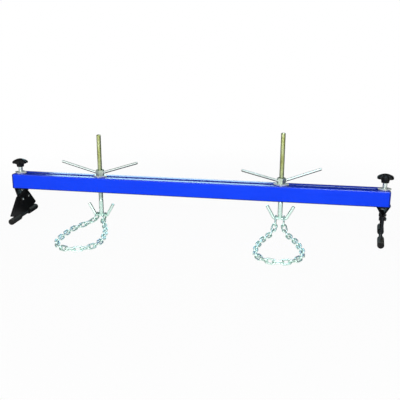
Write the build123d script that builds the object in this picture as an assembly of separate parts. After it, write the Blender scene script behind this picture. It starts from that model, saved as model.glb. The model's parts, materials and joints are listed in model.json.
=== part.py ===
# Engine support bar: two box rails with a slot between them carry two screw hooks
# with chains and two clamped feet. Millimetres, +X along the bar, +Z up.
# The origin is the middle of the slot, level with the underside of the rails.
from build123d import *
from math import cos, hypot, radians, sin, sqrt, tan
import os

# Bar
bar_length = 1500.0
rail_width = 30.0
rail_height = 60.0
rail_wall = 2.5
rail_corner = 4.0
slot_width = 20.0
end_plate_thickness = 5.0

# Clearances
running_gap = 0.3
hole_clearance = 0.5
seat_gap = 0.1

# Plate washers, turned corner first across the slot
hook_washer_side = 42.0
clamp_washer_side = 36.0
washer_thickness = 5.0
washer_corner = 1.5

# Hook screws
screw_diameter = 18.0
screw_length = 340.0
screw_chamfer = 2.0
left_hook_x = -382.0
right_hook_x = 349.5
left_screw_top = 229.6
right_screw_top = 259.0

# Handle nuts
nut_across_flats = 30.0
nut_height = 22.0
nut_chamfer_angle = 30.0
arm_diameter = 10.0
arm_reach = 155.0
arm_rise = 17.0
arm_socket = 3.5
arm_chamfer = 1.0
left_nut_turn = 5.0
right_nut_turn = 16.0

# Double hooks, one bent round bar each
hook_bar_diameter = 12.0
hook_flat = 48.0
hook_prong_angle = 61.0
hook_prong_rise = 50.0
hook_bend_radius = 9.0
hook_tip_chamfer = 1.5

# Chains
link_wire = 6.5
link_inner_width = 10.0
link_pitch = 28.0
link_slack = 0.6
link_count = 29
end_link_inner_width = 16.0
end_link_pitch = 30.0
end_link_side_gap = 3.5
chain_floor_gap = 0.5
chain_roll = 45.0
chain_twist_links = 3
left_chain_drop_run = 100.0
right_chain_drop_run = 80.0

# Floor routes of the chains, from the left crook round to the right crook:
# sideways from the hook and forwards from the bar
left_chain_route = [
    (-17, -28), (-30, -60), (-52, -105), (-66, -170), (-66, -245), (-52, -322), (8, -374),
    (70, -352), (96, -288), (84, -200), (56, -112), (28, -58), (17, -28),
]
right_chain_route = [
    (-17, -25), (-26, -56), (-46, -110), (-63, -180), (-70, -255), (-58, -328), (2, -374),
    (66, -350), (94, -285), (84, -210), (62, -128), (30, -60), (17, -25),
]

# Feet
left_foot_inset = 20.0
right_foot_inset = 19.0
left_foot_turn = 4.0
right_foot_turn = -6.0
foot_drop = 119.0
crossbar_diameter = 14.0
crossbar_length = 244.0
boot_diameter = 25.0
boot_length = 80.0
boot_end = 4.0
boot_round = 3.5

# Bent foot straps, splayed at the top to meet both rails
strap_thickness = 4.0
strap_splay_half = 27.0
strap_bend_drop = 29.0
strap_top_half = 18.0
strap_leg_half = 40.0
strap_end_drop = 70.0
strap_bend_radius = 4.0
strap_corner_round = 4.0

# Triangular foot web between the straps, standing on the crossbar
web_thickness = 6.0
web_top_drop = 31.0
web_top_half = 56.0
web_corner_overhang = 4.0
web_corner_drop = 96.0
web_heel_run = 30.0
web_boot_gap = 1.5
web_tab_gap = 3.0
web_corner_round = 3.0

# Bolts across the straps and the web
bolt_diameter = 8.0
bolt_spacing = 56.0
bolt_drop = 46.0
bolt_head_across_flats = 13.0
bolt_head_height = 5.3
bolt_nut_height = 6.5
bolt_end = 3.0

# Clamp stud, the plate it pulls up under the rails, its nut and its sleeve
stud_diameter = 12.0
stud_chamfer = 1.5
stud_end = 3.0
clamp_plate_thickness = 6.0
clamp_nut_across_flats = 19.0
clamp_nut_height = 6.0
sleeve_diameter = 16.5
sleeve_length = 21.0

# Clamp knobs
knob_diameter = 64.0
knob_lobes = 6
knob_flute_radius = 8.0
knob_flute_depth = 7.0
knob_lobe_round = 4.5
knob_hub_bottom_diameter = 28.0
knob_hub_top_diameter = 33.0
knob_hub_height = 14.0
knob_rim_height = 9.0
knob_dome_height = 11.0
knob_rim_round = 3.0
knob_cover = 4.0
insert_diameter = 20.0
insert_height = 14.0

# Derived places
rail_y = (slot_width + rail_width) / 2
bar_width = slot_width + 2 * rail_width
rail_length = bar_length - 2 * end_plate_thickness
left_foot_x = left_foot_inset - bar_length / 2
right_foot_x = bar_length / 2 - right_foot_inset
washer_top = rail_height + washer_thickness
nut_top = washer_top + nut_height
floor_z = -foot_drop - boot_diameter / 2
link_width = link_inner_width + link_wire
link_hold = (link_slack + link_wire) / 2
link_length = link_pitch + 2 * link_hold
chain_level = (
    floor_z + chain_floor_gap + link_wire / 2 + link_width / 2 * sin(radians(chain_roll))
)
end_link_offset = screw_diameter / 2 + end_link_side_gap + link_wire / 2
strap_inner_x = web_thickness / 2
strap_outer_x = strap_inner_x + strap_thickness
strap_lean = (strap_splay_half - strap_outer_x) / (strap_bend_drop - running_gap)
strap_splay_inner = strap_splay_half - strap_thickness * sqrt(1 + strap_lean ** 2)
clamp_plate_bottom = -running_gap - clamp_plate_thickness
knob_bottom = washer_top + sleeve_length
knob_top = knob_bottom + knob_hub_height + knob_rim_height + knob_dome_height
boot_tip = crossbar_length / 2 + boot_end
web_corner_half = crossbar_length / 2 + web_corner_overhang
web_heel_half = web_corner_half - web_heel_run
web_heel_drop = foot_drop - boot_diameter / 2 - web_boot_gap
bolt_rows = [-bolt_spacing / 2, bolt_spacing / 2]


def save(name, *solids):
    """Write one node, as a single solid or a group of separate solids."""
    shape = solids[0] if len(solids) == 1 else Compound(children=list(solids))
    export_step(shape, f"parts/{name}.step")


def upright(radius, bottom, top):
    """A cylinder on the Z axis between two heights."""
    return extrude(Pos(0, 0, bottom) * Circle(radius), top - bottom)


def along_x(radius, start, end):
    """A cylinder on the X axis between two places."""
    return extrude(Plane.YZ.offset(start) * Circle(radius), end - start)


def hexagon(across_flats, bottom, top):
    """A hexagonal prism on the Z axis with one pair of flats facing along X."""
    corner_radius = across_flats / sqrt(3)
    outline = Pos(0, 0, bottom) * RegularPolygon(corner_radius, 6, rotation=30)
    return extrude(outline, top - bottom)


# Bar

def make_rail(side):
    outer = RectangleRounded(rail_width, rail_height, rail_corner)
    inner = RectangleRounded(
        rail_width - 2 * rail_wall, rail_height - 2 * rail_wall, rail_corner - rail_wall
    )
    tube = extrude(Plane.YZ * (outer - inner), rail_length / 2, both=True)
    return Pos(0, side * rail_y, rail_height / 2) * tube


def make_end_plate(side):
    outline = Plane.YZ * RectangleRounded(bar_width, rail_height, rail_corner)
    plate = extrude(outline, end_plate_thickness / 2, both=True)
    return Pos(side * (rail_length + end_plate_thickness) / 2, 0, rail_height / 2) * plate


def make_washer(side, hole_diameter):
    """A square plate turned corner first, lying on both rails."""
    outline = RectangleRounded(side, side, washer_corner) - Circle(hole_diameter / 2)
    plate = extrude(outline, washer_thickness)
    return Pos(0, 0, rail_height) * Rot(0, 0, 45) * plate


# Screw hooks

def make_arm(turn):
    """One handle arm, rising outwards from its socket in the nut."""
    slope = radians(arm_rise)
    start = nut_across_flats / 2 / cos(slope) - arm_socket
    end = arm_reach / cos(slope)
    bar = along_x(arm_diameter / 2, start, end)
    bar = chamfer(bar.edges().sort_by(Axis.X)[-1], arm_chamfer)
    middle = washer_top + nut_height / 2 - nut_across_flats / 2 * tan(slope)
    return Rot(0, 0, turn) * (Pos(0, 0, middle) * (Rot(0, -arm_rise, 0) * bar))


def make_handle_nut(turn, arms):
    corner_radius = nut_across_flats / sqrt(3)
    blank = Rot(0, 0, turn) * hexagon(nut_across_flats, washer_top, nut_top)
    lip = (corner_radius - nut_across_flats / 2) * tan(radians(nut_chamfer_angle))
    rounded = revolve(
        Plane.XZ * Polygon(
            (0, washer_top), (nut_across_flats / 2, washer_top),
            (corner_radius, washer_top + lip), (corner_radius, nut_top - lip),
            (nut_across_flats / 2, nut_top), (0, nut_top), align=None,
        ),
        Axis.Z,
    )
    nut = (blank & rounded) - upright(screw_diameter / 2 + running_gap, washer_top, nut_top)
    for arm in arms:
        nut = nut - arm
    return nut


def make_hook(bar_axis_z):
    """The bent bar: a flat bottom with a prong rising outwards at each end."""
    run = hook_prong_rise / tan(radians(hook_prong_angle))
    half = hook_flat / 2
    corners = [
        (-half - run, 0, bar_axis_z + hook_prong_rise), (-half, 0, bar_axis_z),
        (half, 0, bar_axis_z), (half + run, 0, bar_axis_z + hook_prong_rise),
    ]
    path = FilletPolyline(*corners, radius=hook_bend_radius)
    section = Plane(origin=path @ 0, z_dir=path % 0) * Circle(hook_bar_diameter / 2)
    bar = sweep(section, path=path)
    tips = bar.edges().filter_by(GeomType.CIRCLE).sort_by(Axis.Z)[-2:]
    return chamfer(tips, hook_tip_chamfer)


def make_screw(top, bar_axis_z, hook):
    """The threaded rod, its foot notched to sit astride the hook bar."""
    rod = upright(screw_diameter / 2, bar_axis_z, top)
    rod = chamfer(rod.edges().sort_by(Axis.Z)[-1], screw_chamfer)
    return rod - hook


# Chains

def make_link(length, width):
    """A round link in the XY plane, sized between the middles of its wire."""
    radius = width / 2
    straight = length - width
    side = Pos(0, radius, 0) * along_x(link_wire / 2, -straight / 2, straight / 2)
    wire = Plane(origin=(straight / 2, -radius, 0), z_dir=(1, 0, 0)) * Circle(link_wire / 2)
    bow = revolve(wire, Axis((straight / 2, 0, 0), (0, 0, 1)), 180)
    half = side + bow
    return half + Rot(0, 0, 180) * half


def place_link(link, start, end, roll):
    """Stand a link between two joint points, rolled about its own length from upright."""
    along = (end - start).normalized()
    across = along.cross(Vector(0, 0, 1)).normalized()
    above = across.cross(along)
    normal = across * cos(radians(roll)) + above * sin(radians(roll))
    return Location(Plane(origin=(start + end) * 0.5, x_dir=along, z_dir=normal)) * link


def take_up(turn):
    """How much nearer two links draw together when they turn against each other."""
    radius = link_width / 2
    lean = turn / sqrt(2)
    aside = hypot(radius - link_hold * (1 + cos(lean)), link_hold * sin(lean))
    return 2 * (aside - radius + 2 * link_hold)


def walk_route(route, reach, drop, drop_run, pitches):
    """Step along the floor route link by link. Gives the joints and the length left over."""
    points = [(x, y * reach) for x, y in route]
    line = Spline((-end_link_offset, 0), *points, (end_link_offset, 0))
    total = line.length

    def point(s):
        flat = line.position_at(s, PositionMode.LENGTH)
        near_hook = max(0.0, 1 - min(s, total - s) / drop_run)
        return Vector(flat.X, flat.Y, drop * near_hook ** 2)

    s = 0.0
    joints = [point(s)]
    for pitch in pitches:
        low = s
        high = min(s + 1.2 * pitch, total)
        for _ in range(14):
            middle = (low + high) / 2
            if (point(middle) - joints[-1]).length < pitch:
                low = middle
            else:
                high = middle
        s = high
        joints.append(point(s))
    return joints, total - s


def chain_joints(route, drop, drop_run):
    """Joint points from crook to crook. The loop reaches forwards as far as its links allow."""
    full_pitches = [end_link_pitch] + [link_pitch] * link_count + [end_link_pitch]
    pitches = full_pitches
    for _ in range(3):
        low, high = 0.8, 1.2
        for _ in range(13):
            reach = (low + high) / 2
            spare = walk_route(route, reach, drop, drop_run, pitches)[1]
            if spare > 0.01:
                high = reach
            else:
                low = reach
        joints = walk_route(route, high, drop, drop_run, pitches)[0]
        steps = [b - a for a, b in zip(joints, joints[1:])]
        turns = [radians(a.get_angle(b)) for a, b in zip(steps, steps[1:])]
        losses = [0.0] + [take_up(turn) for turn in turns] + [0.0]
        pitches = [p - (a + b) / 2 for p, a, b in zip(full_pitches, losses, losses[1:])]
    return joints


def make_chain(hook_x, bar_axis_z, route, drop_run):
    """All links of one chain: the two end links and the links between them."""
    lift = Vector(hook_x, 0, chain_level)
    joints = [lift + p for p in chain_joints(route, bar_axis_z - chain_level, drop_run)]
    link = make_link(link_length, link_width)
    hook_hold = hook_bar_diameter / 2 + running_gap + link_wire / 2
    end_link = make_link(
        hook_hold + end_link_pitch + link_hold, end_link_inner_width + link_wire
    )
    placed = []
    last = len(joints) - 2
    for i in range(last + 1):
        start, end = joints[i], joints[i + 1]
        along = (end - start).normalized()
        if i == 0:
            placed.append(place_link(end_link, start - along * hook_hold, end + along * link_hold, 0))
        elif i == last:
            placed.append(place_link(end_link, start - along * link_hold, end + along * hook_hold, 0))
        else:
            ease = min(1.0, min(i, last - i) / chain_twist_links)
            roll = 90 * (i % 2) + chain_roll * ease
            placed.append(place_link(link, start, end, roll))
    return placed


# Feet

def drilled(piece):
    """The piece with a hole for each foot bolt."""
    for y in bolt_rows:
        piece = piece - Pos(0, y, -bolt_drop) * along_x(
            bolt_diameter / 2 + hole_clearance, -strap_outer_x, strap_outer_x
        )
    return piece


def both_halves(rear_side, corner_round):
    """A plate outline with rounded corners from the corners of its rear half, as (y, z) pairs."""
    front_side = [(-y, z) for y, z in reversed(rear_side)]
    outline = Polygon(*rear_side, *front_side, align=None)
    return Plane.YZ * fillet(outline.vertices(), corner_round)


def make_strap(side):
    """A bent strap: upright below, splayed outwards above to meet the rails."""
    top = -running_gap
    bend = -strap_bend_drop
    end = -strap_end_drop
    inner_bend = top - (strap_splay_inner - strap_inner_x) / strap_lean
    strip = Polygon(
        (strap_inner_x, end), (strap_outer_x, end), (strap_outer_x, bend),
        (strap_splay_half, top), (strap_splay_inner, top), (strap_inner_x, inner_bend), align=None,
    )
    outside = strip.vertices().sort_by_distance((strap_outer_x, bend))[0]
    strip = fillet(outside, strap_bend_radius)
    inside = strip.vertices().sort_by_distance((strap_inner_x, inner_bend))[0]
    strip = fillet(inside, strap_bend_radius + strap_thickness)
    folded = extrude(Plane.XZ * strip, strap_leg_half, both=True)
    outline = both_halves(
        [(strap_top_half, 0), (strap_leg_half, bend), (strap_leg_half, end)], strap_corner_round
    )
    strap = drilled(folded & extrude(outline, strap_splay_half, both=True))
    return strap if side > 0 else mirror(strap, about=Plane.YZ)


def make_web():
    """The triangular plate between the straps. Its tab stands on the crossbar between the boots."""
    tab_half = boot_tip - boot_length - web_tab_gap
    tab_end = crossbar_diameter / 2 + seat_gap - foot_drop
    outline = both_halves(
        [
            (web_top_half, -web_top_drop), (web_corner_half, -web_corner_drop),
            (web_heel_half, -web_heel_drop), (tab_half, -web_heel_drop), (tab_half, tab_end),
        ],
        web_corner_round,
    )
    return drilled(extrude(outline, web_thickness / 2, both=True))


def make_bolt(y):
    shank = along_x(
        bolt_diameter / 2, -strap_outer_x, strap_outer_x + bolt_nut_height + bolt_end
    )
    head = hexagon(bolt_head_across_flats, -strap_outer_x - bolt_head_height, -strap_outer_x)
    return Pos(0, y, -bolt_drop) * (shank + Rot(0, 90, 0) * head)


def make_bolt_nut(y):
    outer_end = strap_outer_x + bolt_nut_height
    body = Rot(0, 90, 0) * hexagon(bolt_head_across_flats, strap_outer_x, outer_end)
    bore = along_x(bolt_diameter / 2 + seat_gap, strap_outer_x, outer_end)
    return Pos(0, y, -bolt_drop) * (body - bore)


def make_crossbar():
    bar = extrude(Plane.XZ * Circle(crossbar_diameter / 2), crossbar_length / 2, both=True)
    return Pos(0, 0, -foot_drop) * bar


def make_boot(side):
    """A rubber boot pushed over one end of the crossbar."""
    outer = boot_diameter / 2
    inner = crossbar_diameter / 2 + seat_gap
    mouth = boot_tip - boot_length
    outline = Polygon(
        (inner, mouth), (outer, mouth), (outer, boot_tip), (0, boot_tip),
        (0, boot_tip - boot_end), (inner, boot_tip - boot_end), align=None,
    )
    rim = outline.vertices().sort_by_distance((outer, boot_tip))[0]
    outline = fillet(rim, boot_round)
    boot = revolve(outline, Axis.Y)
    return Pos(0, 0, -foot_drop) * (Rot(0, 0, 0 if side > 0 else 180) * boot)


# Clamps

def make_clamp_plate():
    """The plate under the rails, held between the splayed straps."""
    half = strap_splay_inner - strap_lean * clamp_plate_thickness - seat_gap
    plate = Box(2 * half, 2 * strap_top_half, clamp_plate_thickness)
    plate = Pos(0, 0, clamp_plate_bottom + clamp_plate_thickness / 2) * plate
    return plate - upright(stud_diameter / 2 + seat_gap, clamp_plate_bottom, 0)


def make_clamp_nut():
    bottom = clamp_plate_bottom - clamp_nut_height
    body = hexagon(clamp_nut_across_flats, bottom, clamp_plate_bottom)
    return body - upright(stud_diameter / 2 + seat_gap, bottom, clamp_plate_bottom)


def make_stud():
    bottom = clamp_plate_bottom - clamp_nut_height - stud_end
    stud = upright(stud_diameter / 2, bottom, knob_bottom + insert_height)
    return chamfer(stud.edges().filter_by(GeomType.CIRCLE), stud_chamfer)


def make_sleeve():
    bore = upright(stud_diameter / 2 + running_gap, washer_top, knob_bottom)
    return upright(sleeve_diameter / 2, washer_top, knob_bottom) - bore


def make_knob():
    """A lobed hand knob with a tapering hub and a pocket for its threaded insert."""
    hub_top = knob_bottom + knob_hub_height
    rim_top = hub_top + knob_rim_height
    radius = knob_diameter / 2
    bulge = (radius * 0.6, rim_top + knob_dome_height * 0.72)
    profile = make_face(
        [
            Polyline(
                (0, knob_top), (0, knob_bottom), (knob_hub_bottom_diameter / 2, knob_bottom),
                (knob_hub_top_diameter / 2, hub_top), (radius, hub_top), (radius, rim_top),
            ),
            ThreePointArc((radius, rim_top), bulge, (0, knob_top)),
        ]
    )
    for corner in [(radius, rim_top), (radius, hub_top)]:
        profile = fillet(profile.vertices().sort_by_distance(corner)[0], knob_rim_round)
    dome = revolve(Plane.XZ * profile, Axis.Z)

    lobes = Circle(radius)
    flute_place = radius - knob_flute_depth + knob_flute_radius
    for spot in PolarLocations(flute_place, knob_lobes):
        lobes -= spot * Circle(knob_flute_radius)
    lobes = fillet(lobes.vertices(), knob_lobe_round)
    knob = dome & extrude(Pos(0, 0, knob_bottom) * lobes, knob_top - knob_bottom)
    insert_top = knob_bottom + insert_height
    knob = knob - upright(insert_diameter / 2 + seat_gap, knob_bottom, insert_top)
    return knob - upright(stud_diameter / 2 + hole_clearance, insert_top, knob_top - knob_cover)


def make_insert():
    """The threaded insert that runs on the stud inside the knob."""
    top = knob_bottom + insert_height
    bore = upright(stud_diameter / 2 + running_gap, knob_bottom, top)
    return upright(insert_diameter / 2, knob_bottom, top) - bore


def build_bar():
    save("front_rail", make_rail(-1))
    save("rear_rail", make_rail(1))
    save("left_end_plate", make_end_plate(-1))
    save("right_end_plate", make_end_plate(1))


def build_hook(side, x, top, turn, route, drop_run):
    here = Pos(x, 0, 0)
    bar_axis_z = top - screw_length + hook_bar_diameter / 2
    hook = make_hook(bar_axis_z)
    arms = [make_arm(turn + 180), make_arm(turn)]
    hole = screw_diameter + 2 * hole_clearance
    save(f"{side}_hook_washer", here * make_washer(hook_washer_side, hole))
    save(f"{side}_handle_nut", here * make_handle_nut(turn, arms))
    save(f"{side}_handle_arm_left", here * arms[0])
    save(f"{side}_handle_arm_right", here * arms[1])
    save(f"{side}_hook_screw", here * make_screw(top, bar_axis_z, hook))
    save(f"{side}_double_hook", here * hook)
    links = make_chain(x, bar_axis_z, route, drop_run)
    save(f"{side}_chain_end_link_left", links[0])
    save(f"{side}_chain_end_link_right", links[-1])
    save(f"{side}_chain_links", *links[1:-1])


def build_foot(side, x, turn):
    here = Pos(x, 0, 0)
    turned = here * Rot(0, 0, turn)
    hole = stud_diameter + 2 * hole_clearance
    save(f"{side}_clamp_washer", here * make_washer(clamp_washer_side, hole))
    save(f"{side}_clamp_stud", turned * make_stud())
    save(f"{side}_clamp_plate", turned * make_clamp_plate())
    save(f"{side}_clamp_nut", turned * make_clamp_nut())
    save(f"{side}_clamp_sleeve", turned * make_sleeve())
    save(f"{side}_foot_strap_left", turned * make_strap(-1))
    save(f"{side}_foot_strap_right", turned * make_strap(1))
    save(f"{side}_foot_web", turned * make_web())
    save(f"{side}_foot_bolts", *[turned * make_bolt(y) for y in bolt_rows])
    save(f"{side}_foot_bolt_nuts", *[turned * make_bolt_nut(y) for y in bolt_rows])
    save(f"{side}_crossbar", turned * make_crossbar())
    save(f"{side}_front_boot", turned * make_boot(-1))
    save(f"{side}_rear_boot", turned * make_boot(1))
    save(f"{side}_knob_insert", turned * make_insert())
    save(f"{side}_star_knob", turned * make_knob())


os.makedirs("parts", exist_ok=True)
build_bar()
build_hook("left", left_hook_x, left_screw_top, left_nut_turn, left_chain_route, left_chain_drop_run)
build_hook(
    "right", right_hook_x, right_screw_top, right_nut_turn, right_chain_route, right_chain_drop_run
)
build_foot("left", left_foot_x, left_foot_turn)
build_foot("right", right_foot_x, right_foot_turn)
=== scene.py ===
import bpy
import bmesh
import json
from collections import namedtuple
from math import ceil, cos, exp, pi, radians, sin, sqrt, tan
from mathutils import Matrix, Vector


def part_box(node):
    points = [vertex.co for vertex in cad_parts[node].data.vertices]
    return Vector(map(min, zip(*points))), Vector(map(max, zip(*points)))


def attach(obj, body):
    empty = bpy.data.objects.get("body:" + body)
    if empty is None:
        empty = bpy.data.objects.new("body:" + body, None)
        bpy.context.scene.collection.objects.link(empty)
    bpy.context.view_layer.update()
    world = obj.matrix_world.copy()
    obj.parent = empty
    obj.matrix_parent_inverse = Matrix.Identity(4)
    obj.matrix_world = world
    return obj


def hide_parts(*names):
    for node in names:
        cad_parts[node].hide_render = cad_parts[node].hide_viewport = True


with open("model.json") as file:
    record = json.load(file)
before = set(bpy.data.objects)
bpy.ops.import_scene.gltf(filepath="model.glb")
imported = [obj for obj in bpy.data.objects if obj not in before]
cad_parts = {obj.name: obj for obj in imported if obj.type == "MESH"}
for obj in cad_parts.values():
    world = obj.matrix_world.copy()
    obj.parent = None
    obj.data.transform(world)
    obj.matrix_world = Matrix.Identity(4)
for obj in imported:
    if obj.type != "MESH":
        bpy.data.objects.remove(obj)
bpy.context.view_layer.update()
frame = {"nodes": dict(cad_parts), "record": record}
nodes = frame["nodes"]
mm = 0.001

# Turns of the handles and feet about their upright axes, in degrees
nut_turns = {"left": 5, "right": 16}
foot_turns = {"left": 4, "right": -6}


class Value:
    """A socket in a finish's nodes. Sums written on it add Math nodes."""

    def __init__(self, finish, socket):
        self.finish = finish
        self.socket = socket

    def sum(self, operation, first, second):
        return self.finish.node(
            "ShaderNodeMath", {"operation": operation}, {0: first, 1: second}
        )

    def __add__(self, other):
        return self.sum("ADD", self, other)

    def __radd__(self, other):
        return self.sum("ADD", other, self)

    def __sub__(self, other):
        return self.sum("SUBTRACT", self, other)

    def __rsub__(self, other):
        return self.sum("SUBTRACT", other, self)

    def __mul__(self, other):
        return self.sum("MULTIPLY", self, other)

    def __rmul__(self, other):
        return self.sum("MULTIPLY", other, self)

    def __pow__(self, other):
        return self.sum("POWER", self, other)


class Finish:
    """The nodes of one surface, or of the light all round."""

    def __init__(self, name, owner=None):
        self.owner = owner or bpy.data.materials.new(name)
        self.owner.use_nodes = True
        self.tree = self.owner.node_tree
        self.tree.nodes.clear()

    def node(self, kind, settings=None, sockets=None, out=0):
        made = self.tree.nodes.new(kind)
        for key, value in (settings or {}).items():
            if key == "stops":
                ramp = made.color_ramp
                while len(ramp.elements) < len(value):
                    ramp.elements.new(1.0)
                for element, (place, colour) in zip(ramp.elements, value):
                    element.position = place
                    element.color = colour
            else:
                setattr(made, key, value)
        for key, value in (sockets or {}).items():
            if isinstance(value, Value):
                self.tree.links.new(value.socket, made.inputs[key])
            else:
                made.inputs[key].default_value = value
        return Value(self, made.outputs[out]) if made.outputs else None

    def place(self):
        return self.node("ShaderNodeTexCoord", out="Object")

    def stretched(self, where, x, y, z):
        return self.node(
            "ShaderNodeVectorMath", {"operation": "MULTIPLY"}, {0: where, 1: (x, y, z)}
        )

    def along(self, where, axis):
        return self.node("ShaderNodeSeparateXYZ", None, {0: where}, out=axis)

    def upward(self):
        """How far the surface faces up, from -1 to 1."""
        return self.along(self.node("ShaderNodeNewGeometry", out="Normal"), "Z")

    def speckle(self, where, per_metre, detail=2):
        return self.node(
            "ShaderNodeTexNoise", None,
            {"Vector": where, "Scale": per_metre, "Detail": detail},
        )

    def grains(self, where, per_metre):
        return self.node("ShaderNodeTexVoronoi", None, {"Vector": where, "Scale": per_metre})

    def step(self, value, low, high):
        return self.node(
            "ShaderNodeMapRange", {"interpolation_type": "SMOOTHSTEP"},
            {"Value": value, "From Min": low, "From Max": high},
        )

    def blend(self, amount, first, second):
        return self.node(
            "ShaderNodeMix", {"data_type": "RGBA"}, {0: amount, 6: first, 7: second}, out=2
        )

    def relief(self, height, depth, strength):
        return self.node(
            "ShaderNodeBump", None, {"Height": height, "Distance": depth, "Strength": strength}
        )

    def coat(self, **sockets):
        named = {key.replace("_", " "): value for key, value in sockets.items()}
        return self.close(self.node("ShaderNodeBsdfPrincipled", None, named))

    def close(self, surface):
        kind = "World" if isinstance(self.owner, bpy.types.World) else "Material"
        self.node("ShaderNodeOutput" + kind, None, {"Surface": surface})
        return self.owner


def rgb(r, g, b):
    return (r, g, b, 1.0)


# Finishes

# Distances from the middle of the bar where the slot's painted shade begins to fade and where
# it ends
slot_shade = 11 * mm, 13 * mm


def blue_enamel(name, shade):
    """Blue enamel with painted shade in the slot and under the bar, and more gloss on the upper
    edges.

    The shade is painted shade that darkens all of it.
    """
    deep, light = rgb(0.002, 0.046, 0.88), rgb(0.004, 0.060, 0.97)
    streaked, unlit = rgb(0.001, 0.038, 0.80), rgb(0.001, 0.013, 0.12)
    f = Finish(name)
    place = f.place()
    clouds = f.speckle(place, 7, 3)
    streaks = f.speckle(f.stretched(place, 2, 9, 30), 3)
    peel = f.speckle(place, 380)
    colour = f.blend(clouds, deep, light)
    colour = f.blend(f.step(streaks, 0.45, 0.8) * 0.25, colour, streaked)
    up = f.upward()
    # Painted shade under the bar: what faces down darkens towards the unlit colour
    under = (1 - f.step(up, -0.25, -0.01)) * 0.95
    aside = f.along(place, "Y")
    near, far = slot_shade
    # Painted shade in the slot between the rails
    slot = (1 - f.step(aside * aside, near ** 2, far ** 2)) * 0.70
    # The share of the colour that no painted shade darkens
    unshaded = (1 - under) * (1 - slot) * (1 - shade)
    edge = f.step(up, 0.25, 0.45) * (1 - f.step(up, 0.90, 0.98))
    return f.coat(
        Base_Color=f.blend(unshaded, unlit, colour), Roughness=0.17 + 0.09 * clouds,
        Specular_IOR_Level=0.12, Normal=f.relief(peel, 0.10 * mm, 0.4),
        Coat_Weight=edge, Coat_Roughness=0.12,
    )


# Zinc casts: dull crystals, middle and pale
plain_cast = rgb(0.37, 0.43, 0.40), rgb(0.54, 0.61, 0.58), rgb(0.70, 0.77, 0.73)
green_cast = rgb(0.40, 0.54, 0.48), rgb(0.63, 0.82, 0.74), rgb(0.82, 0.98, 0.91)
nut_cast = rgb(0.30, 0.36, 0.28), rgb(0.46, 0.55, 0.45), rgb(0.60, 0.70, 0.58)
washer_cast = rgb(0.55, 0.62, 0.55), rgb(0.78, 0.85, 0.77), rgb(0.90, 0.95, 0.88)

# How much of their colour the metals keep at a glancing angle. The dark rim is painted shade on
# their glancing reflections
bare_rim = rgb(1, 1, 1)
painted_dark_rim = rgb(0.05, 0.05, 0.03)


def zinc_nodes(f, place, cast):
    """Bright zinc: a faint sea green cast, small mottled crystals and fine rub marks."""
    dull, middle, pale = cast
    crystals = f.grains(place, 260)
    clouds = f.speckle(place, 35, 3)
    rubs = f.speckle(f.stretched(place, 1, 1, 0.12), 900)
    colour = f.blend(f.step(crystals, 0.15, 0.75) * 0.35, f.blend(clouds, middle, pale), dull)
    rough = 0.26 + 0.09 * clouds + 0.07 * rubs
    return colour, rough, f.relief(rubs, 0.03 * mm, 0.4)


def bright_zinc(name, cast, metal=0.88, under_shade=0.0, rim=bare_rim):
    """Bright zinc. The under shade is painted shade: a dark colour on what faces down."""
    f = Finish(name)
    colour, rough, rubbed = zinc_nodes(f, f.place(), cast)
    if under_shade:
        # Painted shade: what faces down darkens
        under_shade_mask = (1 - f.step(f.upward(), -0.60, 0.40)) * under_shade
        colour = f.blend(under_shade_mask, colour, rgb(0.035, 0.038, 0.038))
    return f.coat(
        Base_Color=colour, Metallic=metal, Roughness=rough, Specular_Tint=rim, Normal=rubbed
    )


# Radii between which the screw's grooves darken
groove_floor, groove_top = 7.7 * mm, 8.8 * mm
# Heights between which the screw's zinc turns to straw yellow, and its thread begins
straw_low, straw_high = 0, 140 * mm
thread_low, thread_high = -40 * mm, -20 * mm


def screw_zinc():
    """The screw: straw yellow passivation above, blue-white zinc towards the hook."""
    f = Finish("yellow_zinc")
    place = f.place()
    pale, rough, rubbed = zinc_nodes(f, place, green_cast)
    stain = f.speckle(f.stretched(place, 1, 1, 0.3), 60, 3)
    straw = f.node(
        "ShaderNodeValToRGB",
        {"stops": [
            (0.30, rgb(0.33, 0.36, 0.10)), (0.48, rgb(0.57, 0.64, 0.27)),
            (0.62, rgb(0.72, 0.80, 0.45)), (0.75, rgb(0.53, 0.49, 0.23)),
        ]},
        {0: stain},
    )
    x = f.along(place, "X")
    y = f.along(place, "Y")
    radius = (x * x + y * y) ** 0.5
    groove = 1 - f.step(radius, groove_floor, groove_top)
    height = f.along(place, "Z") + 30 * mm * (stain - 0.5)
    colour = f.blend(f.step(height, straw_low, straw_high), pale, straw)
    threaded = f.step(height, thread_low, thread_high)
    colour = f.blend(groove * threaded * 0.55, colour, rgb(0.14, 0.13, 0.05))
    return f.coat(
        Base_Color=colour, Metallic=1.0, Roughness=rough - 0.05 + 0.10 * groove,
        # The dark rim is painted shade on the screw's glancing reflections
        Specular_Tint=painted_dark_rim, Normal=rubbed,
    )


def black_enamel():
    f = Finish("black_enamel")
    place = f.place()
    clouds = f.speckle(place, 25, 3)
    peel = f.speckle(place, 600)
    dust = f.step(f.speckle(place, 140, 4), 0.55, 0.8)
    colour = f.blend(clouds, rgb(0.005, 0.005, 0.0055), rgb(0.011, 0.011, 0.012))
    colour = f.blend(dust * 0.25, colour, rgb(0.035, 0.034, 0.033))
    return f.coat(
        Base_Color=colour, Roughness=0.38 + 0.16 * clouds, Specular_IOR_Level=0.08,
        Normal=f.relief(peel, 0.10 * mm, 0.5),
    )


def moulded_black():
    f = Finish("moulded_black")
    place = f.place()
    pebble = f.speckle(place, 1100)
    clouds = f.speckle(place, 45, 3)
    colour = f.blend(clouds, rgb(0.005, 0.005, 0.005), rgb(0.012, 0.013, 0.013))
    return f.coat(
        Base_Color=colour, Roughness=0.30 + 0.14 * clouds, Specular_IOR_Level=0.10,
        Normal=f.relief(pebble, 0.08 * mm, 0.5),
    )


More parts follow.
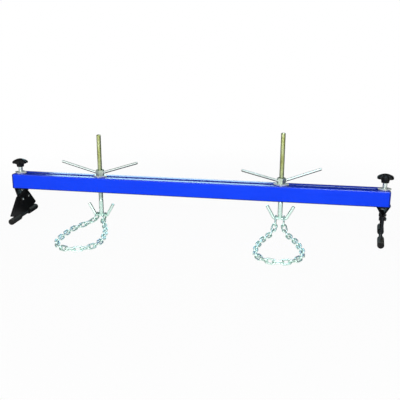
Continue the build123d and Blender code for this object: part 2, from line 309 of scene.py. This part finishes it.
def boot_rubber():
    f = Finish("boot_rubber")
    place = f.place()
    grain = f.speckle(place, 1300, 3)
    clouds = f.speckle(place, 55, 4)
    bloom = f.step(clouds, 0.45, 0.75)
    colour = f.blend(bloom, rgb(0.009, 0.009, 0.009), rgb(0.030, 0.030, 0.029))
    # Dust and painted sheen: what faces up is lighter, partly from dust and partly as a painted
    # sheen
    dust = f.step(f.upward(), 0.35, 0.95) * (0.6 + 0.4 * clouds)
    colour = f.blend(dust, colour, rgb(0.085, 0.085, 0.070))
    return f.coat(
        Base_Color=colour, Roughness=0.62 + 0.2 * clouds, Specular_IOR_Level=0.14,
        Normal=f.relief(grain, 0.15 * mm, 0.6),
    )


def oiled_steel():
    f = Finish("oiled_steel")
    place = f.place()
    clouds = f.speckle(place, 80, 4)
    marks = f.speckle(f.stretched(place, 1, 0.1, 1), 700)
    colour = f.blend(clouds, rgb(0.10, 0.10, 0.10), rgb(0.26, 0.26, 0.26))
    return f.coat(
        Base_Color=colour, Metallic=1.0, Roughness=0.34 + 0.16 * clouds,
        Normal=f.relief(marks, 0.04 * mm, 0.4),
    )


# How far out from the web the bolts' bare ends begin
bare_from, bare_full = 13.7 * mm, 14.1 * mm


def blackened_bolt():
    """Blackened bolts, bare and bright where the thread's end was cut."""
    f = Finish("blackened_bolt")
    place = f.place()
    clouds = f.speckle(place, 120, 3)
    bare = f.step(f.along(place, "X"), bare_from, bare_full)
    colour = f.blend(clouds, rgb(0.008, 0.008, 0.008), rgb(0.030, 0.029, 0.028))
    colour = f.blend(bare, colour, rgb(0.74, 0.79, 0.76))
    return f.coat(
        Base_Color=colour, Metallic=bare, Roughness=0.36 + 0.14 * clouds,
        Specular_IOR_Level=0.12,
    )


def turned_brass():
    f = Finish("turned_brass")
    place = f.place()
    rings = f.speckle(f.stretched(place, 0.1, 0.1, 1), 1500)
    clouds = f.speckle(place, 60, 3)
    colour = f.blend(clouds, rgb(0.56, 0.38, 0.13), rgb(0.75, 0.55, 0.24))
    return f.coat(
        Base_Color=colour, Metallic=1.0, Roughness=0.22 + 0.14 * rings,
        Normal=f.relief(rings, 0.05 * mm, 0.4),
    )


# One finish for each material slot of the record
finishes = {
    "blue_paint": blue_enamel("blue_enamel", 0.0),
    "bright_zinc": bright_zinc("bright_zinc", plain_cast),
    "yellow_zinc": screw_zinc(),
    "black_paint": black_enamel(),
    "black_plastic": moulded_black(),
    "black_rubber": boot_rubber(),
    "dark_steel": oiled_steel(),
    "brass": turned_brass(),
}

# Finishes of single pieces, by a word in the node's name
chain_zinc = bright_zinc("chain_zinc", green_cast)
own_finishes = {
    "chain": chain_zinc,
    "double_hook": chain_zinc,
    # The arms get painted shade underneath and the painted dark rim
    "handle_arm": bright_zinc("arm_zinc", plain_cast, under_shade=0.85, rim=painted_dark_rim),
    # The nut also gets the painted dark rim
    "handle_nut": bright_zinc("nut_zinc", nut_cast, rim=painted_dark_rim),
    "washer": bright_zinc("washer_zinc", washer_cast, metal=0.3),
    # The end plates get a copy of the enamel with painted shade all over
    "end_plate": blue_enamel("end_enamel", 0.75),
}
bolt_black = blackened_bolt()

for subpart in frame["record"]["subparts"]:
    name = subpart["node"]
    finish = finishes[subpart["material_slot"]]
    for word, own in own_finishes.items():
        if word in name:
            finish = own
    for face_slot in nodes[name].material_slots:
        face_slot.material = finish


# Shapes

# Points closer than this are one point
weld_distance = 1e-6
# Edges sharper than this many degrees stay crisp on each kind of piece
crisp = {"thread": 25, "knob": 50, "bead": 60}


def make_piece(name, shape, body, slot, where, crease, finish=None):
    """Turn a bmesh into a piece that rides on a body."""
    bmesh.ops.remove_doubles(shape, verts=shape.verts, dist=weld_distance)
    bmesh.ops.recalc_face_normals(shape, faces=shape.faces)
    mesh = bpy.data.meshes.new(name)
    shape.to_mesh(mesh)
    shape.free()
    for face in mesh.polygons:
        face.use_smooth = True
    mesh.set_sharp_from_angle(angle=radians(crease))
    piece = bpy.data.objects.new(name, mesh)
    bpy.context.scene.collection.objects.link(piece)
    piece.matrix_world = where
    mesh.materials.append(finish or finishes[slot])
    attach(piece, body)
    return piece


def join_into(whole, part, move):
    """Move a shape and add it to another one."""
    bmesh.ops.transform(part, matrix=move, verts=part.verts)
    spare = bpy.data.meshes.new("spare")
    part.to_mesh(spare)
    part.free()
    whole.from_mesh(spare)
    bpy.data.meshes.remove(spare)


def add_rings(shape, rings, capped=True, closed=False):
    """Skin a row of rings with quads. Each ring is a list of points."""
    made = [[shape.verts.new(p) for p in ring] for ring in rings]
    count = len(made[0])
    pairs = list(zip(made, made[1:]))
    if closed:
        pairs.append((made[-1], made[0]))
    for a, b in pairs:
        for i in range(count):
            j = (i + 1) % count
            shape.faces.new((a[i], a[j], b[j], b[i]))
    if capped and not closed:
        shape.faces.new(list(reversed(made[0])))
        shape.faces.new(made[-1])


# A thread's form over one turn: where along the pitch, and what share of the depth is cut
square_form = [(0.0, 0.0), (0.36, 0.0), (0.50, 1.0), (0.86, 1.0)]
vee_form = [(0.0, 0.0), (0.14, 0.0), (0.50, 1.0), (0.64, 1.0)]
# Turns over which a thread runs out
run_out = 1.5

Thread = namedtuple("Thread", "radius depth pitch chamfer form sides")
screw_thread = Thread(9.0 * mm, 1.3 * mm, 4.0 * mm, 2.2 * mm, square_form, 40)
stud_thread = Thread(6.0 * mm, 0.95 * mm, 1.75 * mm, 1.2 * mm, vee_form, 28)
bolt_thread = Thread(4.0 * mm, 0.7 * mm, 1.25 * mm, 0.9 * mm, vee_form, 20)


def add_thread(shape, thread, bottom, top, start):
    """A rod on the Z axis with a helical thread from start to top, and a plain shank below."""
    radius, depth, pitch, chamfer, form, sides = thread
    length = top - bottom
    rows = []
    for turn in range(-1, ceil(length / pitch) + 1):
        for phase, cut in form:
            row = []
            for i in range(sides):
                angle = 2 * pi * i / sides
                z = min(max((turn + phase + i / sides) * pitch, 0.0), length)
                ease = min(max((bottom + z - start) / (run_out * pitch), 0.0), 1.0)
                r = radius - depth * cut * ease
                r = min(r, radius - chamfer + (length - z))
                row.append(shape.verts.new((r * cos(angle), r * sin(angle), bottom + z)))
            rows.append(row)
    per_turn = len(form)
    for k in range(len(rows) - 1):
        for i in range(sides - 1):
            shape.faces.new((rows[k][i], rows[k][i + 1], rows[k + 1][i + 1], rows[k + 1][i]))
        above = k + per_turn
        if above + 1 < len(rows):
            shape.faces.new((rows[k][-1], rows[above][0], rows[above + 1][0], rows[k + 1][-1]))
    bmesh.ops.remove_doubles(shape, verts=shape.verts, dist=weld_distance)
    bmesh.ops.dissolve_degenerate(shape, edges=shape.edges, dist=weld_distance / 10)
    rims = [e for e in shape.edges if e.is_boundary]
    bmesh.ops.holes_fill(shape, edges=rims, sides=0)


def bead_path(points, closed):
    """The middle line of a weld bead: each point, the way along and the way aside."""
    frames = []
    count = len(points)
    for i, p in enumerate(points):
        before = points[i - 1] if closed or i else p
        after = points[(i + 1) % count] if closed or i < count - 1 else p
        along = (after - before).normalized()
        aside = along.orthogonal().normalized()
        if frames:
            last = frames[-1][2]
            aside = (last - along * last.dot(along)).normalized()
        frames.append((p, along, aside))
    return frames


# A weld bead's thickness between passes of the torch, what a pass adds, and what an end keeps
bead_waist, bead_swell, bead_end = 0.82, 0.18, 0.35
bead_sides = 10


def add_bead(shape, points, radius, ripple, closed=False):
    """A weld bead: a tube whose thickness swells at each pass of the torch."""
    rings = []
    run = 0.0
    frames = bead_path(points, closed)
    for k, (p, along, aside) in enumerate(frames):
        if k:
            run += (p - frames[k - 1][0]).length
        swell = bead_waist + bead_swell * abs(sin(pi * run / ripple))
        if not closed and k in (0, len(frames) - 1):
            swell *= bead_end
        other = along.cross(aside)
        ring = []
        for i in range(bead_sides):
            angle = 2 * pi * i / bead_sides
            ring.append(p + (aside * cos(angle) + other * sin(angle)) * radius * swell)
        rings.append(ring)
    add_rings(shape, rings, closed=closed)


# Hexagons: the turned face's share of the width, the slope of the turned off corners, points on
# each side, the step under a bolt's head and the widening at a nut's mouth
hexagon_face = 0.96
hexagon_slope = tan(radians(30))
hexagon_steps = 8
head_step = 0.4 * mm
nut_mouth = 0.6 * mm


def add_hexagon(shape, across_flats, bottom, top, bore=None):
    """A hexagon on the Z axis: a bolt's head, or with a bore a nut.

    The corners are turned off at a head's top, and at both ends of a nut.
    """
    half = across_flats / 2
    face = hexagon_face * half
    count = 6 * hexagon_steps
    angles = [2 * pi * i / count for i in range(count)]

    def hole(z, r):
        return [Vector((r * cos(angle), r * sin(angle), z)) for angle in angles]

    top_edge, low_edge = [], []
    for angle in angles:
        turned = (angle + pi / 6) % (pi / 3) - pi / 6
        corner = half / cos(turned)
        drop = (corner - face) * hexagon_slope
        low = bottom + (drop if bore else head_step)
        c, s = cos(angle), sin(angle)
        top_edge.append(Vector((corner * c, corner * s, top - drop)))
        low_edge.append(Vector((corner * c, corner * s, low)))
    if bore:
        mouth = bore + nut_mouth
        add_rings(shape, [
            hole(bottom, mouth), hole(bottom, face), low_edge, top_edge, hole(top, face),
            hole(top, mouth), hole(top - nut_mouth, bore), hole(bottom + nut_mouth, bore),
        ], closed=True)
    else:
        step = bottom + head_step
        add_rings(shape, [
            hole(bottom, face), hole(step, face), low_edge, top_edge, hole(top, face)
        ])


def arc(start, end, steps):
    return [radians(start + (end - start) * i / steps) for i in range(steps + 1)]


# Screw hooks

threaded_length = 270 * mm


def make_screw(side):
    low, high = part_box(f"{side}_hook_screw")
    axis = (low.x + high.x) / 2
    shape = bmesh.new()
    add_thread(shape, screw_thread, low.z, high.z, high.z - threaded_length)
    screw = make_piece(
        f"{side}_threaded_screw", shape, f"{side}_hook", "yellow_zinc",
        Matrix.Translation((axis, 0, 0)), crisp["thread"],
    )
    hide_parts(f"{side}_hook_screw")
    return axis, low.z


def make_hook_weld(side, axis, bar_z):
    """The bead that joins the screw's foot to the hook bar, round both sides of the bar."""
    # In mm: the screw's radius, how far out from the screw and from the bar's middle the bead
    # runs, and half its width and its drop where it crosses the bar's side
    rod, off, beside, half_run, drop = 9.0, 0.4, 6.7, 6.0, 0.8
    loop = []
    for way in (1, -1):
        for t in arc(0, 180, 14):
            y = way * beside * cos(t)
            x = way * (sqrt(rod ** 2 - y ** 2) + off)
            loop.append(Vector((x, y, beside * sin(t))) * mm)
        for k in (0.66, 0.33, 0, -0.33, -0.66):
            loop.append(Vector((way * k * half_run, -way * beside, -drop)) * mm)
    shape = bmesh.new()
    add_bead(shape, loop, radius=1.9 * mm, ripple=2.6 * mm, closed=True)
    make_piece(
        f"{side}_hook_weld", shape, f"{side}_hook", "bright_zinc",
        Matrix.Translation((axis, 0, bar_z)), crisp["bead"], chain_zinc,
    )


def make_arm_welds(side, axis):
    """A bead round each arm where it meets a flat of the nut."""
    flat, half_width, half_height = 15.5 * mm, 5.8 * mm, 6.1 * mm
    low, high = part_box(f"{side}_handle_nut")
    shape = bmesh.new()
    for turn in (nut_turns[side], nut_turns[side] + 180):
        spin = Matrix.Rotation(radians(turn), 3, "Z")
        ring = [
            spin @ Vector((flat, half_width * cos(t), half_height * sin(t)))
            for t in arc(0, 350, 35)
        ]
        add_bead(shape, ring, radius=1.7 * mm, ripple=2.4 * mm, closed=True)
    make_piece(
        f"{side}_handle_welds", shape, f"{side}_handle", "bright_zinc",
        Matrix.Translation((axis, 0, (low.z + high.z) / 2)), crisp["bead"],
    )


# Feet

def foot_place(side):
    low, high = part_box(f"{side}_clamp_washer")
    turn = Matrix.Rotation(radians(foot_turns[side]), 4, "Z")
    return Matrix.Translation(((low.x + high.x) / 2, 0, 0)) @ turn


# The knob's outline, radius and height in mm, from its blind bore round hub and rim to the top
knob_outline = [
    (0, 116), (6.5, 116), (6.5, 100), (10.1, 100), (10.1, 86), (13.2, 86),
    (14.0, 86.6), (14.5, 90), (15.2, 94), (15.9, 97), (17.0, 98.8), (19.0, 99.7),
    (22, 100.1), (26, 100.4),
    *[(28.1 + 3.4 * sin(t), 104.2 - 3.6 * cos(t)) for t in arc(10, 100, 7)],
    (31.1, 106.4), (30.2, 108.3), (28.7, 109.9), (26.7, 111.5), (24, 113.2),
    (20, 115.1), (16, 116.8), (12, 118.2), (8, 119.2), (4, 119.8), (0, 120),
]
knob_sides = 96
# The flutes between the lobes: half their width, and in mm their depth, the radius that this
# depth is for, where they begin and grow full, and the height that they stay above
flute_half_width = radians(11.5)
flute_depth, flute_radius = 7.0, 32
flute_start, flute_growth, flute_bottom = 15, 9, 97


def flute_cut(angle):
    """How far a flute of the knob cuts in at this angle, from 0 on a lobe to 1."""
    off = (angle + pi / 6) % (pi / 3) - pi / 6
    return exp(-((off / flute_half_width) ** 4))


def make_knob(side):
    """The lobed hand knob, moulded with soft edges over a tapering hub."""
    place = foot_place(side)
    turn = place.to_3x3()
    rings = []
    for radius, z in knob_outline:
        ring = []
        reach = min(max((radius - flute_start) / flute_growth, 0.0), 1.0)
        reach = reach * reach * (3 - 2 * reach) if z > flute_bottom else 0.0
        for i in range(knob_sides):
            angle = 2 * pi * i / knob_sides
            r = radius - flute_depth * flute_cut(angle) * reach * radius / flute_radius
            ring.append(turn @ Vector((r * cos(angle), r * sin(angle), z)) * mm)
        rings.append(ring)
    shape = bmesh.new()
    add_rings(shape, rings, capped=False)
    knob = make_piece(
        f"{side}_hand_knob", shape, f"{side}_knob", "black_plastic",
        Matrix.Translation(place.translation), crisp["knob"],
    )
    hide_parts(f"{side}_star_knob")


def make_stud(side):
    low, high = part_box(f"{side}_clamp_stud")
    shape = bmesh.new()
    add_thread(shape, stud_thread, low.z, high.z, low.z)
    stud = make_piece(
        f"{side}_threaded_stud", shape, f"{side}_foot", "bright_zinc", foot_place(side),
        crisp["thread"],
    )
    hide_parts(f"{side}_clamp_stud")


# The two bolts of a foot: half of what they clamp, their places, and their sizes
half_grip = 7.0 * mm
bolt_rows = (-28 * mm, 28 * mm)
bolt_level = -46 * mm
bolt_reach, bolt_plain = 9.5 * mm, 4 * mm
hexagon_width, head_height, nut_height = 13.0 * mm, 5.3 * mm, 6.5 * mm
nut_bore = 4.05 * mm


def make_bolts(side):
    """Two hexagon bolts and their nuts across the straps and the web."""
    lay = Matrix.Rotation(pi / 2, 4, "Y")
    turn_over = Matrix.Rotation(pi, 4, "X")
    bolts, nuts = bmesh.new(), bmesh.new()
    for y in bolt_rows:
        bolt, head, nut = bmesh.new(), bmesh.new(), bmesh.new()
        add_thread(
            bolt, bolt_thread, -half_grip, half_grip + bolt_reach, half_grip - bolt_plain
        )
        add_hexagon(head, hexagon_width, half_grip, half_grip + head_height)
        join_into(bolt, head, turn_over)
        add_hexagon(nut, hexagon_width, half_grip, half_grip + nut_height, nut_bore)
        move = Matrix.Translation((0, y, bolt_level)) @ lay
        join_into(bolts, bolt, move)
        join_into(nuts, nut, move)
    for name, shape, solid in (
        ("hex_bolts", bolts, "foot_bolts"), ("hex_nuts", nuts, "foot_bolt_nuts")
    ):
        piece = make_piece(
            f"{side}_{name}", shape, f"{side}_foot", "dark_steel", foot_place(side),
            crisp["thread"], bolt_black,
        )
        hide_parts(f"{side}_{solid}")


def make_foot_welds(side):
    """The beads that join the web's tab to the crossbar."""
    # In mm: how far from the web's middle, half the run, the step along it and the height
    beside, half_run, step, level = 3.6, 40, 0.8, -112.4
    count = round(2 * half_run / step) + 1
    shape = bmesh.new()
    for way in (1, -1):
        line = [Vector((way * beside, -half_run + step * k, level)) * mm for k in range(count)]
        add_bead(shape, line, radius=1.9 * mm, ripple=3.2 * mm)
    make_piece(
        f"{side}_foot_welds", shape, f"{side}_foot", "black_paint", foot_place(side),
        crisp["bead"],
    )


for side in ("left", "right"):
    axis, bar_z = make_screw(side)
    make_hook_weld(side, axis, bar_z)
    make_arm_welds(side, axis)
    make_knob(side)
    make_stud(side)
    make_bolts(side)
    make_foot_welds(side)


# Floor, light and camera

def add_plate(name, size, where, material):
    shape = bmesh.new()
    w, d = size[0] / 2, size[1] / 2
    corners = (-w, -d, 0), (w, -d, 0), (w, d, 0), (-w, d, 0)
    shape.faces.new([shape.verts.new(p) for p in corners])
    mesh = bpy.data.meshes.new(name)
    shape.to_mesh(mesh)
    shape.free()
    plate = bpy.data.objects.new(name, mesh)
    bpy.context.scene.collection.objects.link(plate)
    plate.matrix_world = where
    mesh.materials.append(material)
    return plate


def floor_paper():
    """White paper with a faint shadow. A hook let down below the feet still shows through."""
    f = Finish("floor_paper")
    matt = f.node("ShaderNodeBsdfDiffuse", None, {"Color": rgb(0.88, 0.88, 0.88)})
    bright = f.node("ShaderNodeEmission", None, {"Color": rgb(1, 1, 1), "Strength": 1.0})
    clear = f.node("ShaderNodeBsdfTransparent", None, {"Color": rgb(1, 1, 1)})
    away = f.node("ShaderNodeVectorMath", {"operation": "LENGTH"}, {0: f.place()}, out="Value")
    share = 0.96 + 0.04 * f.step(away, 0.9, 2.2)
    mirrored = share * f.node("ShaderNodeLightPath", out="Is Glossy Ray")
    seen = share * f.node("ShaderNodeLightPath", out="Is Camera Ray")
    paper = f.node("ShaderNodeMixShader", None, {0: mirrored, 1: matt, 2: bright})
    return f.close(f.node("ShaderNodeMixShader", None, {0: seen, 1: paper, 2: clear}))


def dark_card():
    f = Finish("dark_card")
    return f.close(f.node("ShaderNodeBsdfDiffuse", None, {"Color": rgb(0.03, 0.03, 0.03)}))


def pale_card(name, strength, tint):
    f = Finish(name)
    return f.close(f.node("ShaderNodeEmission", None, {"Color": tint, "Strength": strength}))


def light_all_round(level, reflected):
    """Even light from the room. The eye sees it white, and reflections see it darker."""
    world = bpy.data.worlds.new("soft_room")
    bpy.context.scene.world = world
    f = Finish("soft_room", world)
    lit, dim, white = [
        f.node("ShaderNodeBackground", None, {"Color": rgb(1, 1, 1), "Strength": strength})
        for strength in (level, reflected, 1.0)
    ]
    shiny = f.node("ShaderNodeLightPath", out="Is Glossy Ray")
    room = f.node("ShaderNodeMixShader", None, {0: shiny, 1: lit, 2: dim})
    seen = f.node("ShaderNodeLightPath", out="Is Camera Ray")
    f.close(f.node("ShaderNodeMixShader", None, {0: seen, 1: room, 2: white}))


def turned_to(where, aim, front):
    """The place of something that turns its front to the aim."""
    look = (Vector(aim) - Vector(where)).to_track_quat(front, "Y").to_matrix().to_4x4()
    return Matrix.Translation(where) @ look


def add_softbox(name, size, watts, where, aim, colour=(1, 1, 1)):
    lamp = bpy.data.lights.new(name, "AREA")
    lamp.shape = "RECTANGLE"
    lamp.size, lamp.size_y = size
    lamp.energy = watts
    lamp.color = colour
    box = bpy.data.objects.new(name, lamp)
    bpy.context.scene.collection.objects.link(box)
    box.matrix_world = turned_to(where, aim, "-Z")
    box.visible_camera = False


def add_card(name, size, where, aim, material):
    """A card that only reflections see: dark backs, pale tops and bright lines on the metal."""
    card = add_plate(name, size, turned_to(where, aim, "Z"), material)
    card.visible_camera = False
    card.visible_diffuse = False
    card.visible_shadow = False


sensor_width = 36
picture_width = 400


def add_camera(place, yaw, pitch, roll, focal):
    """A camera from its place, its turns in degrees and its focal length in pixels."""
    yaw, pitch, roll = radians(yaw), radians(pitch), radians(roll)
    ahead = Vector((sin(yaw) * cos(pitch), cos(yaw) * cos(pitch), -sin(pitch)))
    right = Vector((cos(yaw), -sin(yaw), 0))
    down = ahead.cross(right)
    across = right * cos(roll) + down * sin(roll)
    below = down * cos(roll) - right * sin(roll)
    turn = Matrix((across, -below, -ahead)).transposed().to_4x4()
    lens = bpy.data.cameras.new("camera")
    lens.sensor_width = sensor_width
    lens.lens = focal * sensor_width / picture_width
    camera = bpy.data.objects.new("camera", lens)
    bpy.context.scene.collection.objects.link(camera)
    camera.matrix_world = Matrix.Translation(place) @ turn
    bpy.context.scene.camera = camera


floor_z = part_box("left_front_boot")[0].z
floor = add_plate("floor", (60, 60), Matrix.Translation((0, 0, floor_z)), floor_paper())
floor.visible_shadow = False
light_all_round(level=0.15, reflected=0.04)
add_softbox(
    "front_panel", size=(5.6, 1.9), watts=127, where=(0.1, -3.3, 0.9), aim=(0, 0, 0.05)
)
add_softbox(
    "back_light", size=(2.1, 1.1), watts=29, where=(-0.9, 3.0, 0.8), aim=(-0.2, 0, 0.05),
    colour=(0.56, 0.88, 1.0),
)
add_card(
    "ground_card", size=(9, 4), where=(0, 2.05, floor_z + 2 * mm), aim=(0, 2.05, 1),
    material=dark_card(),
)
add_card(
    "ceiling_card", size=(6.0, 2.4), where=(0, -0.6, 2.2), aim=(0, -0.6, 0),
    material=pale_card("ceiling_card", 1.0, rgb(1, 1, 1)),
)
add_card(
    "edge_card", size=(0.85, 3.6), where=(0.82, -0.8, 2.1), aim=(0.82, -0.8, 0),
    material=pale_card("edge_card", 5.0, rgb(0.66, 0.86, 1.0)),
)
add_camera((0.439, -2.158, 0.553), yaw=-10.675, pitch=14.57, roll=-0.30, focal=570.8)
bpy.context.scene.view_settings.view_transform = "Standard"
